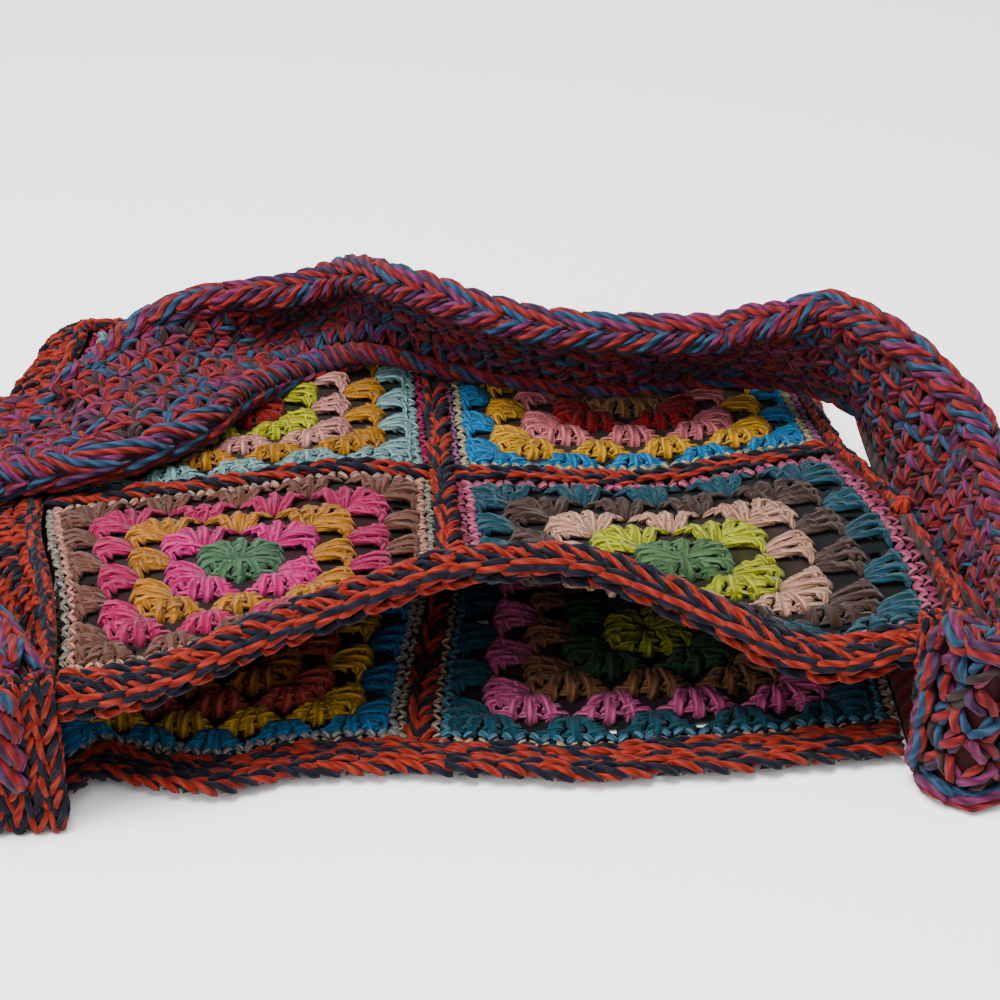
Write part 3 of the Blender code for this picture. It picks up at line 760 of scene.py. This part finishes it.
def add_chain(stitches, cloth, start, end, pitch, half_width, level, rise, size, colours):
    """A chain of V stitches from start to end, two flat places."""
    start, end = np.array(start), np.array(end)
    length = np.linalg.norm(end - start)
    count = max(2, round(length / pitch))
    pitch = length / count
    ahead_step = (end - start) / length
    across_step = np.array((-ahead_step[1], ahead_step[0]))
    places = (np.arange(count) + 0.0)[:, None]
    for arm in (-1, 1):
        run = (places + CHAIN_ARM[:, 0][None, :]) * pitch
        run = np.clip(run, 0.0, length)
        out = arm * CHAIN_ARM[:, 1][None, :] * half_width * np.ones_like(run)
        flat = (start + run[..., None] * ahead_step + out[..., None] * across_step)
        height = level + CHAIN_ARM[:, 2][None, :] * rise * np.ones_like(run)
        course = np.concatenate([flat, height[..., None]], axis=-1)
        course[..., 2] += stitches.chance.normal(0.0, 0.0002, (count, 1))
        for strand, colour in zip(plied(course, len(colours), size, stitches.chance), colours):
            stitches.lay(cloth, strand, size, size * 0.95, colour, sides=CHAIN_SIDES)


SEAM_PITCH = 0.0072
SEAM_HALF_CHAIN = HALF_SEAM - 0.0003
SEAM_STRAND = 0.0026
SEAM_LINES = (
    # node ending, start, end
    ("seam_long", (0.0, NEAR), (0.0, FAR)),
    ("seam_left", (LEFT, 0.0), (-HALF_SEAM, 0.0)),
    ("seam_right", (RIGHT, 0.0), (HALF_SEAM, 0.0)),
)
for panel, cloth, lift in (("front", front_cloth, 0.0012), ("back", back_cloth, 0.0030)):
    for number, (ending, start, end) in enumerate(SEAM_LINES):
        stitches = Stitches(200 + number)
        add_chain(stitches, cloth, start, end, SEAM_PITCH, SEAM_HALF_CHAIN, lift, 0.0022,
                  SEAM_STRAND, (CORAL, NAVY))
        if panel == "front":
            add_chain(stitches, cloth, start, end, SEAM_PITCH, SEAM_HALF_CHAIN, -0.0012, -0.0014,
                      SEAM_STRAND, (CORAL, NAVY))
        node = f"{panel}_{ending}"
        panel_stitches[panel].append(
            stitches.make(node + "_chain", firm_yarn, (node,)))

FRONT_BAND_PITCH, FRONT_HALF_CHAIN = 0.0092, 0.0034
BACK_BAND_PITCH, BACK_BAND_STRAND = 0.0078, 0.0028
BAND_END_GAP = 0.0014
stitches = Stitches(220)
band_left, band_right = LEFT + BAND_END_GAP, RIGHT - BAND_END_GAP
for t, level, rise, size, colours in (
        (NEAR - 0.0028, 0.0018, 0.0024, 0.0028, (CORAL, NAVY)),
        (NEAR - 0.0082, 0.0012, 0.0030, 0.0028, (CORAL, NAVY, CORAL, NAVY)),
        (NEAR - 0.0030, -0.0018, -0.0024, 0.0032, (CORAL, NAVY)),
        (NEAR - 0.0085, -0.0018, -0.0024, 0.0032, (CORAL, NAVY))):
    add_chain(stitches, front_cloth, (band_right, t), (band_left, t), FRONT_BAND_PITCH,
              FRONT_HALF_CHAIN, level, rise, size, colours)
panel_stitches["front"].append(
    stitches.make("mouth_band_front_chain", firm_yarn, ("mouth_band_front",)))

stitches = Stitches(221)
for t, level, rise, half_width in (
        (NEAR - 0.0150, 0.0034, 0.0026, 0.0032), (NEAR - 0.0110, 0.0026, 0.0018, 0.0024),
        (NEAR - 0.0066, 0.0026, 0.0018, 0.0024), (NEAR - 0.0022, 0.0026, 0.0018, 0.0024)):
    add_chain(stitches, back_cloth, (band_left, t), (band_right, t), BACK_BAND_PITCH,
              half_width, level, rise, BACK_BAND_STRAND, (CORAL, NAVY))
panel_stitches["back"].append(
    stitches.make("mouth_band_back_chain", firm_yarn, ("mouth_band_back",)))

# The gusset is one long band of short stitches in rows along its length, coral and navy together.
# It runs from the left mouth corner around the closed end to the right mouth corner.
GUSSET_THICKNESS = 0.005
BACK_BAND_THICKNESS = 0.007
SQUARE_THICKNESS = 0.004
SIDE_BULGE = 0.022
EDGE_GAP = 0.0006
GUSSET_BULGES = (
    # path, bulge
    (0.00, 0.00), (0.15, 0.15), (0.35, 0.70), (0.60, 1.00), (0.90, 0.95), (1.00, 0.80),
    (1.20, 0.50), (1.50, 0.25), (1.80, 0.25), (2.00, 0.30), (2.30, 0.20), (2.70, 0.10),
    (3.00, 0.00),
)
GUSSET_SECTION = ((0.30, 0.85), (0.65, 1.00), (0.88, 0.55))
GUSSET_WIDTH = 0.050


def gusset_stations():
    """Path value, place on the back edge, place on the front edge, and the outward turn."""
    stations = [(0.0, (LEFT, NEAR - BACK_BAND_WIDTH), (LEFT, NEAR - FRONT_BAND_WIDTH), 180)]
    depth = FAR - NEAR
    stations += [((t - NEAR) / depth, (LEFT, t), (LEFT, t), 180)
                 for t in np.linspace(NEAR, FAR, 40)[:-1]]
    stations += [(1.0, (LEFT, FAR), (LEFT, FAR), turn) for turn in (165, 150, 135, 120, 105)]
    stations += [(1 + (s - LEFT) / (RIGHT - LEFT), (s, FAR), (s, FAR), 90)
                 for s in np.linspace(LEFT, RIGHT, 42)[1:-1]]
    stations += [(2.0, (RIGHT, FAR), (RIGHT, FAR), turn) for turn in (75, 60, 45, 30, 15)]
    stations += [(3 - (t - NEAR) / depth, (RIGHT, t), (RIGHT, t), 0)
                 for t in np.linspace(FAR, NEAR, 40)[1:]]
    stations.append((3.0, (RIGHT, NEAR - BACK_BAND_WIDTH), (RIGHT, NEAR - FRONT_BAND_WIDTH), 0))
    return stations


def gusset_line(path, back_place, front_place, turn):
    """Points across the gusset's middle, from the back panel up to the front one."""
    outward = Vector((math.cos(math.radians(turn)), math.sin(math.radians(turn)), 0.0))
    low, high = back(*back_place), front(*front_place)
    bulge = smooth_row(GUSSET_BULGES, path)[1] * SIDE_BULGE
    knots = [low, low + Vector((0, 0, BACK_BAND_THICKNESS))]
    knots += [low.lerp(high, height) + outward * bulge * share for height, share in GUSSET_SECTION]
    knots += [high, high + Vector((0, 0, SQUARE_THICKNESS / 2))]
    moved = outward * (EDGE_GAP + GUSSET_THICKNESS / 2)
    knots = np.array([point + moved for point in knots])
    steps = np.linalg.norm(np.diff(knots, axis=0), axis=1)
    shares = np.concatenate([[0], np.cumsum(steps)]) / steps.sum()
    table = np.column_stack([shares, knots])
    return [smooth_row(table, share)[1:] for share in np.linspace(0, 1, 21)]


gusset_points = np.array([gusset_line(*station) for station in gusset_stations()])
gusset_steps = np.linalg.norm(np.diff(gusset_points[:, 10], axis=0), axis=1)
gusset_run = np.concatenate([[0], np.cumsum(gusset_steps)])
gusset_cloth = Cloth(gusset_run, np.linspace(0, GUSSET_WIDTH, 21), gusset_points, -1)


def add_band_web(name, cloth, half_thickness, shade, outward=1):
    """A knitted band's web: the closed thin sheet under its stitches, painted darker than its dye
    as shade.
    """
    count_a, count_b = len(cloth.a_values), len(cloth.b_values)
    a, b = np.meshgrid(cloth.a_values, cloth.b_values, indexing="ij")
    points = np.concatenate([
        (cloth.points + cloth.normals * height).reshape(-1, 3)
        for height in (-half_thickness * outward, half_thickness * outward)])
    total = count_a * count_b
    faces = []
    for i in range(count_a - 1):
        for j in range(count_b - 1):
            index = [i * count_b + j, (i + 1) * count_b + j, (i + 1) * count_b + j + 1,
                     i * count_b + j + 1]
            faces.append([total + k for k in index])
            faces.append(index[::-1])
    edge = ([i * count_b for i in range(count_a)]
            + [(count_a - 1) * count_b + j for j in range(1, count_b)]
            + [i * count_b + count_b - 1 for i in range(count_a - 2, -1, -1)]
            + [j for j in range(count_b - 2, 0, -1)])
    for p, q in zip(edge, edge[1:] + edge[:1]):
        faces.append([p, q, total + q, total + p])
    corners = np.array(faces).ravel()
    flat = np.stack([a, b], axis=-1).reshape(-1, 2)
    # Painted shade: the web is the band's dye darkened to 0.3.
    dyes = np.tile((*(0.3 * value for value in shade), 0.5), (2 * total, 1))
    return make_piece(name, firm_yarn, (), points, corners, np.full(len(faces), 4),
                      np.concatenate([flat, flat])[corners], dyes)


SHORT_LEG = np.array((
    # along the row in stitches, up the row in rows, share of the rise
    (0.02, -0.10, -0.3), (0.12, 0.22, 0.8), (0.26, 0.55, 1.0), (0.38, 0.85, 0.7),
    (0.46, 1.12, -0.3),
))
ROW_BAR = np.array((
    (-0.62, 0.98, -0.2), (-0.35, 1.08, 0.9), (0.0, 1.02, 1.2), (0.34, 0.92, 0.9),
    (0.60, 1.0, -0.2),
))


def add_rows(stitches, cloth, a_range, b_range, rows, pitch, rise, level, size, palette, ply,
             bar_ply):
    """Rows of short stitches along a band: each a V of two legs under a bar, of ply strands."""
    row_height = (b_range[1] - b_range[0]) / rows
    count = round((a_range[1] - a_range[0]) / pitch)
    pitch = (a_range[1] - a_range[0]) / count
    chance = stitches.chance
    shapes = [(arm, SHORT_LEG, ply) for arm in (-1, 1)]
    if bar_ply:
        shapes.append((1, ROW_BAR, bar_ply))
    for row in range(rows):
        places = (np.arange(count) + 0.5 * (row % 2))[:, None]
        for arm, shape, strands in shapes:
            a = a_range[0] + (places + 0.5 + arm * shape[:, 0][None, :]) * pitch
            a = np.clip(a + chance.normal(0, 0.05, (count, 1)) * pitch, *a_range)
            b = b_range[0] + (row + shape[:, 1][None, :]) * row_height + 0 * a
            b = b + chance.normal(0, 0.06, (count, 1)) * row_height
            height = level + shape[:, 2][None, :] * rise * chance.uniform(0.8, 1.2, (count, 1))
            course = np.stack([a, b, height + 0 * a], axis=-1)
            for strand in plied(course, strands, size, chance):
                colours = np.array(palette)[chance.integers(0, len(palette), count)]
                stitches.lay(cloth, strand, size, size * 0.95, colours)


GUSSET_ROWS = 7
GUSSET_PITCH = 0.0085
GUSSET_STRAND = 0.0030
GUSSET_HALF_WEB = 0.0012
GUSSET_EDGE = GUSSET_WIDTH - 0.0015
gusset_length = gusset_run[-1]
gusset_web_painted_shade = add_band_web("gusset_web_painted_shade", gusset_cloth, GUSSET_HALF_WEB, CORAL, -1)
stitches = Stitches(300)
add_rows(stitches, gusset_cloth, (0.0, gusset_length), (0.002, GUSSET_WIDTH - 0.003),
         GUSSET_ROWS, GUSSET_PITCH, 0.0022, 0.0006, GUSSET_STRAND, (CORAL, CORAL, NAVY), 2, 0)
add_chain(stitches, gusset_cloth, (0.0, GUSSET_EDGE), (gusset_length, GUSSET_EDGE), 0.0088, 0.0034,
          0.0006, 0.0018, GUSSET_STRAND, (CORAL, NAVY))
gusset_piece = stitches.make("gusset_stitches", firm_yarn, ("gusset",))

# The strap is a wide band in a chunky yarn of coral, blue, pink, purple and brown strands held
# together: five rows of short stitches with a thick chain along both edges. It rises from the
# right mouth corner, lies across the bag, turns over beside it and ends at the left corner.
STRAP_WIDTH = 0.063
STRAP_THICKNESS = 0.0085
STRAP_RIM_THICKNESS = 0.0115
FLOOR_GAP = 0.0003
STRAP_SECTIONS = (
    # x, out, y, z, lean, curl
    (0.945, 0.0, -0.030, 0.02, 6.0, 0.00),
    (0.945, 0.3, -0.115, 0.02, 6.0, 0.00),
    (0.945, 0.8, -0.155, 0.02, 4.0, 0.00),
    (0.945, 1.3, -0.110, 0.02, 0.0, 0.00),
    (0.945, 1.5, -0.010, 0.02, -5.0, 0.00),
    (0.945, 1.5, 0.170, 0.04, -10.0, 0.00),
    (0.945, 1.4, 0.350, 0.14, -14.0, 0.00),
    (0.940, 1.1, 0.700, 0.52, -16.0, 0.00),
    (0.944, 0.9, 1.040, 0.84, 12.0, 0.00),
    (0.945, 0.7, 1.240, 0.98, 36.0, 0.00),
    (0.880, 0.1, 1.425, 0.95, 45.0, 0.00),
    (0.717, 0.0, 1.535, 0.86, 48.0, 0.05),
    (0.443, 0.0, 1.530, 0.80, 43.0, 0.08),
    (0.241, 0.0, 1.585, 0.80, 40.0, 0.08),
    (0.050, 0.0, 1.660, 0.80, 32.0, 0.12),
    (-0.128, 0.0, 1.720, 0.80, 20.0, 0.27),
    (-0.283, 0.0, 1.720, 0.72, -25.0, 0.38),
    (-0.443, 0.0, 1.480, 0.93, -70.0, 0.14),
    (-0.540, 0.0, 1.225, 1.03, -80.0, 0.06),
    (-0.747, 0.0, 1.030, 1.06, -87.0, 0.03),
    (-0.900, -1.0, 1.045, 0.91, -92.0, 0.03),
    (-0.980, -2.0, 1.010, 0.72, -70.0, 0.00),
    (-1.030, -3.0, 0.840, 0.36, -42.0, 0.00),
    (-1.070, -3.0, 0.610, 0.10, -20.0, 0.00),
    (-1.020, -2.5, 0.420, 0.03, -8.0, 0.00),
    (-0.946, -1.7, 0.330, 0.02, 2.0, 0.04),
    (-0.890, -1.2, 0.190, 0.02, 12.0, 0.08),
    (-0.872, -0.7, -0.030, 0.02, 17.0, 0.12),
)
STRAP_STATIONS = 7


def strap_points():
    half_width = RIGHT + 0.019
    outside = GUSSET_THICKNESS + STRAP_RIM_THICKNESS
    rows = [(k, x * half_width + out * outside, MOUTH_LINE + y * SQUARE_DEPTH,
             FLOOR_GAP + z * SIDE_HEIGHT, math.radians(lean), curl)
            for k, (x, out, y, z, lean, curl) in enumerate(STRAP_SECTIONS)]
    route = [smooth_row(rows, k / STRAP_STATIONS)
             for k in range((len(rows) - 1) * STRAP_STATIONS + 1)]
    lines = []
    for k, row in enumerate(route):
        low, lean, curl = Vector(row[1:4]), row[4], row[5]
        tangent = Vector(route[min(k + 2, len(route) - 1)][1:4]) - Vector(route[max(k - 2, 0)][1:4])
        tangent.z = 0.0
        left = Vector((-tangent.y, tangent.x, 0.0)).normalized()
        widthwise = Vector((0, 0, 1)) * math.cos(lean) + left * math.sin(lean)
        face = left * math.cos(lean) - Vector((0, 0, 1)) * math.sin(lean)
        chord = STRAP_WIDTH * (1 - 8 / 3 * curl ** 2)
        sag = 4 * curl * STRAP_WIDTH
        lines.append([low + widthwise * chord * share - face * sag * share * (1 - share)
                      for share in np.linspace(0, 1, 17)])
    return np.array(lines)


strap_grid = strap_points()
strap_steps = np.linalg.norm(np.diff(strap_grid[:, 8], axis=0), axis=1)
strap_run = np.concatenate([[0], np.cumsum(strap_steps)])
strap_cloth = Cloth(strap_run, np.linspace(0, STRAP_WIDTH, 17), strap_grid)
strap_length = float(strap_run[-1])
STRAP_DYES = (dye(170, 66, 66), dye(66, 96, 128), dye(140, 68, 108), dye(90, 60, 92),
              dye(80, 62, 62), dye(164, 60, 62), dye(138, 54, 60), dye(150, 68, 90))
RIM_DYES = (STRAP_DYES[0], STRAP_DYES[1], STRAP_DYES[2], STRAP_DYES[5], STRAP_DYES[3])
STRAP_ROWS = 5
STRAP_PITCH = 0.0118
STRAP_HALF_WEB = 0.0024
STRAP_INNER = 0.0075
RIM_INSET, RIM_RADIUS = 0.0055, 0.0046
END_INSET, END_RADIUS = 0.008, 0.0085
RIM_TURN = 2.1
RIM_LEVEL, RIM_RISE = 0.0002, 0.0014
web_cloth = Cloth(strap_run, strap_cloth.b_values[1:-1], strap_grid[:, 1:-1])
strap_web_painted_shade = add_band_web("strap_web_painted_shade", web_cloth, STRAP_HALF_WEB, STRAP_DYES[6])
chunky_yarn = yarn_finish("chunky_yarn", 2, 0.009, 0.8, 0.05)
for name, side, ply, bar_ply, size in (("strap_inner_stitches", -1, 4, 3, 0.0028),
                                       ("strap_outer_stitches", 1, 3, 0, 0.0035)):
    stitches = Stitches(401 + side)
    add_rows(stitches, strap_cloth, (0.0, strap_length), (STRAP_INNER, STRAP_WIDTH - STRAP_INNER),
             STRAP_ROWS, STRAP_PITCH, side * STRAP_HALF_WEB, side * STRAP_HALF_WEB, size,
             STRAP_DYES, ply, bar_ply)
    stitches.make(name, chunky_yarn)


def edge_cloth(along, edge_run, edge_up, inner_run, inner_up, radius, outward):
    """A surface that wraps round an edge of the strap, with its middle on the edge's line."""
    flat = np.zeros(len(along))
    middle = strap_cloth.place(edge_run, edge_up, flat)
    out = middle - strap_cloth.place(inner_run, inner_up, flat)
    out /= np.linalg.norm(out, axis=1, keepdims=True)
    facing = strap_cloth.facing(edge_run, edge_up)
    turns = np.linspace(-RIM_TURN, RIM_TURN, 17)
    tube = (middle[:, None, :] + radius * (out[:, None, :] * np.cos(turns)[None, :, None]
                                           + facing[:, None, :] * np.sin(turns)[None, :, None]))
    return Cloth(along, turns * radius, tube, outward)


stitches = Stitches(410)
run = strap_cloth.a_values
for up, edge in ((RIM_INSET, -1), (STRAP_WIDTH - RIM_INSET, 1)):
    rim_cloth = edge_cloth(run, run, np.full(len(run), up), run,
                           np.full(len(run), up - edge * 0.003), RIM_RADIUS, -edge)
    add_chain(stitches, rim_cloth, (0.0, 0.0), (strap_length, 0.0), STRAP_PITCH, 0.0066, RIM_LEVEL,
              RIM_RISE, 0.0034, RIM_DYES)
    for number, turn in enumerate(np.linspace(-1.5, 1.5, 7)):
        course = np.stack([run[::2], np.full(len(run[::2]), turn * RIM_RADIUS),
                           np.full(len(run[::2]), -0.0006)], axis=-1)[None]
        stitches.lay(rim_cloth, course, 0.0030, 0.0030, STRAP_DYES[(number * 2 + 5) % 8])
up = np.linspace(0.002, STRAP_WIDTH - 0.002, 20)
for end, edge in ((END_INSET, -1), (strap_length - END_INSET, 1)):
    end_cloth = edge_cloth(up, np.full(20, end), up, np.full(20, end - edge * 0.003), up,
                           END_RADIUS, edge)
    add_chain(stitches, end_cloth, (up[0], 0.0), (up[-1], 0.0), 0.0135, 0.0125, RIM_LEVEL,
              RIM_RISE, 0.0036, RIM_DYES)
stitches.make("strap_rims", chunky_yarn, ("strap",))

# Coral stitches close the gusset's mouth ends against the ends of the strap, in columns of chain
# stitches that run from the floor up to the front panel's corner. On the left a thick chain of the
# strap's own strands lies over them.
LASHING_COLUMN, LASHING_PITCH, LASHING_STRAND = 0.0062, 0.0075, 0.0026
TIE_PITCH, TIE_HALF_WIDTH, TIE_STRAND = 0.0115, 0.0125, 0.0036
for side in ("left", "right"):
    low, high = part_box("strap_lashing_" + side)
    rise_values, run_values = np.linspace(low.z, high.z, 9), np.linspace(low.x, high.x, 5)
    lashing_cloth = Cloth(rise_values, run_values,
                          [[(x, low.y + 0.003, z) for x in run_values] for z in rise_values], 1)
    stitches = Stitches(500)
    columns = max(1, round((high.x - low.x) / LASHING_COLUMN))
    for k in range(columns):
        x = low.x + (k + 0.5) * (high.x - low.x) / columns
        for facing_side in (-1, 1):
            add_chain(stitches, lashing_cloth, (low.z, x), (high.z, x), LASHING_PITCH,
                      (high.x - low.x) / columns / 2, facing_side * 0.001,
                      facing_side * 0.0018, LASHING_STRAND, (CORAL, NAVY))
    if side == "left":
        end_height = low.z + 0.36 * (high.z - low.z)
        centre = low.x + 0.14 * (high.x - low.x)
        for facing_side in (-1, 1):
            add_chain(stitches, lashing_cloth, (high.z + 0.006, centre), (end_height, centre),
                      TIE_PITCH, TIE_HALF_WIDTH, facing_side * 0.003, facing_side * 0.0026,
                      TIE_STRAND, RIM_DYES)
    stitches.make("strap_lashing_" + side + "_stitches", firm_yarn,
                  ("strap_lashing_" + side,))

# Loose ends of the strap's strands hang from its lower edge on the right. They run together in a
# red knot on the bag's side, and fan out again over the strap's inner face.
KNOT_PLACE = np.array((0.1665, -0.056, 0.0500))
KNOT_RADIUS, KNOT_HEIGHT, KNOT_STRAND = 0.0048, 0.0042, 0.0036
LOOSE_SIDES = 7
LOOSE_LEVEL = -0.0055
LOOSE_FACING = np.array((-0.3, -0.6, 0.74))
LOOSE_SAG, LOOSE_SWELL = np.array((0, 0, 0.006)), np.array((-0.004, 0, 0.002))
LOOSE_STRANDS = (
    # strap row and height where a strand starts, the same where it ends, its dye, its width
    (8.9, 0.004, 5.2, 0.040, 0, 0.0034), (8.5, 0.006, 5.0, 0.036, 4, 0.0036),
    (8.2, 0.006, 4.6, 0.044, 4, 0.0036), (7.9, 0.008, 4.8, 0.030, 4, 0.0036),
    (7.5, 0.010, 4.4, 0.036, 1, 0.0028), (7.3, 0.014, 4.5, 0.028, 2, 0.0028),
    (7.0, 0.016, 4.2, 0.034, 1, 0.0028), (6.7, 0.020, 4.1, 0.026, 1, 0.0028),
    (6.4, 0.024, 4.3, 0.022, 6, 0.0034),
)
stitches = Stitches(520)
chance = stitches.chance
share = np.linspace(0, 1, 14)[:, None]
for start_row, start_up, end_row, end_up, shade, width in LOOSE_STRANDS:
    places = []
    for row, up in ((start_row, start_up), (end_row, end_up)):
        a = np.interp(row * STRAP_STATIONS, np.arange(len(strap_run)), strap_run)
        places.append(strap_cloth.place(np.array([a]), np.array([up]), np.array([LOOSE_LEVEL]))[0])
    knot = KNOT_PLACE + chance.normal(0, 0.0012, 3)
    first = (places[0] * (1 - share) + knot * share - LOOSE_SAG * np.sin(math.pi * share))
    second = (knot * (1 - share) + places[1] * share + LOOSE_SWELL * np.sin(math.pi * share))
    for path in (first, second):
        facing = np.broadcast_to(LOOSE_FACING, path.shape)
        stitches.lay_paths(path[None], facing[None], width, width * 0.9, STRAP_DYES[shade],
                           sides=LOOSE_SIDES)
turn = np.linspace(0, 1.9 * math.pi, 12)
for k in range(4):
    tilt = 0.5 * k + chance.uniform(-0.3, 0.3)
    ring = np.stack([KNOT_RADIUS * np.cos(turn) * math.cos(tilt),
                     KNOT_RADIUS * np.cos(turn) * math.sin(tilt),
                     KNOT_HEIGHT * np.sin(turn)], axis=-1) + KNOT_PLACE
    facing = np.broadcast_to(np.array((-math.sin(tilt), math.cos(tilt), 0.0)), ring.shape)
    stitches.lay_paths(ring[None], facing[None], KNOT_STRAND, KNOT_STRAND, CORAL, reach=6,
                       sides=LOOSE_SIDES)
stitches.make("loose_strands", chunky_yarn)
